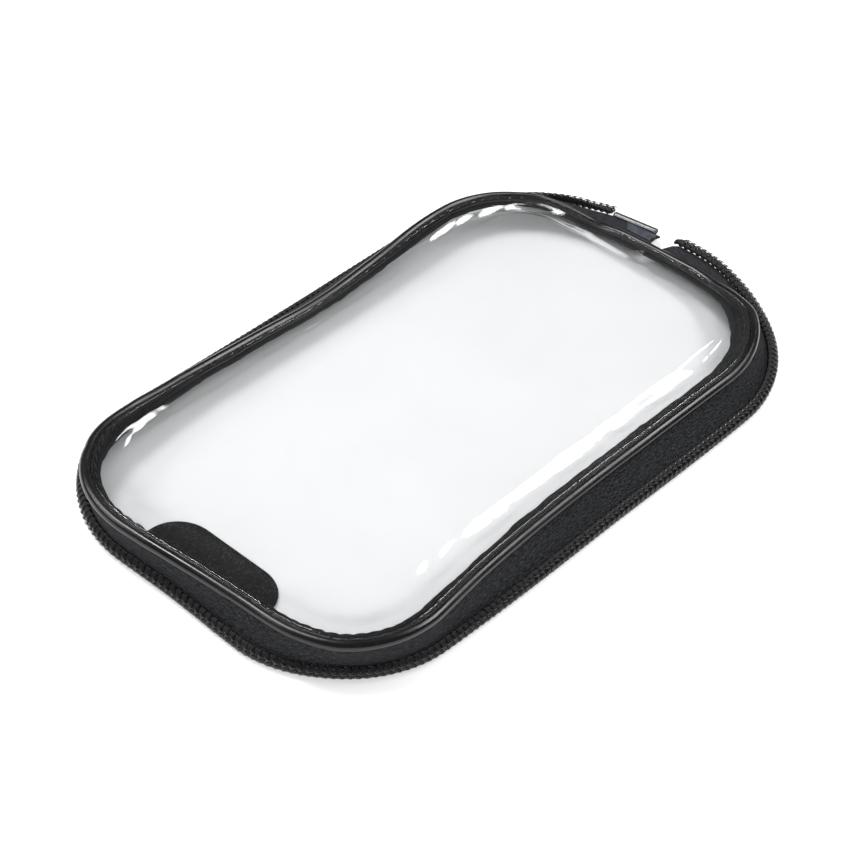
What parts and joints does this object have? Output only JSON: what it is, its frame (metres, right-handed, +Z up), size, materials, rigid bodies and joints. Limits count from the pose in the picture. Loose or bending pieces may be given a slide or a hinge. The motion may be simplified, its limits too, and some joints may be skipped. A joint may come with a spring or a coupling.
{
  "type": "zip-on phone pocket for a motorcycle tank bag",
  "caption": "Clear soft window pocket with a piped rim, a leaning wall of zip tape and half a coil zip round its foot, which zips onto a tank bag.",
  "frame": {"origin": "centre of the zip's foot outline, on the surface that the coil lies on", "axes": "+Z up out of the window, +Y along the length towards the pin end of the zip, +X across"},
  "size_m": [0.104, 0.187, 0.012],
  "materials": {
    "clear_film": "clear glossy soft PVC film",
    "black_vinyl": "glossy black vinyl",
    "white_cord": "twisted cotton cord",
    "black_cord": "braided polyester cord",
    "black_thread": "bonded sewing thread",
    "zip_thread": "shiny polyester sewing thread",
    "woven_tape": "woven black zip tape",
    "nylon_coil": "black nylon monofilament",
    "end_film": "bluish translucent reinforcing film",
    "pin_metal": "bright metal",
    "tab_fabric": "black ribbed fabric"
  },
  "bodies": {
    "pocket": {"window_film": "clear_film", "piping_cover": "black_vinyl", "piping_cord": "white_cord", "piping_thread": "black_thread", "window_seam_thread": "black_thread", "seam_bobbin_thread": "black_thread", "zip_tape": "woven_tape", "zip_coil": "nylon_coil", "coil_cord": "black_cord", "coil_thread_outer": "zip_thread", "coil_thread_inner": "zip_thread", "coil_looper_thread": "black_thread", "tail_tack": "black_thread"},
    "tape_end": {"pin_end_tape": "woven_tape", "end_film_outer": "end_film", "end_film_inner": "end_film", "insertion_pin": "pin_metal"},
    "tab": {"end_tab": "tab_fabric", "end_tab_thread": "black_thread"}
  },
  "joints": [
    {"name": "tape_end_bend", "type": "hinge", "parent": "pocket", "child": "tape_end", "pos_m": [-0.01157, 0.08496, 0.0015], "axis": [0.9967, 0.0725, 0.0354], "range_deg": [0, 60]},
    {"name": "end_tab_lift", "type": "hinge", "parent": "pocket", "child": "tab", "pos_m": [0, -0.0894, 0.0006], "axis": [1, 0, 0], "range_deg": [0, 20]}
  ]
}
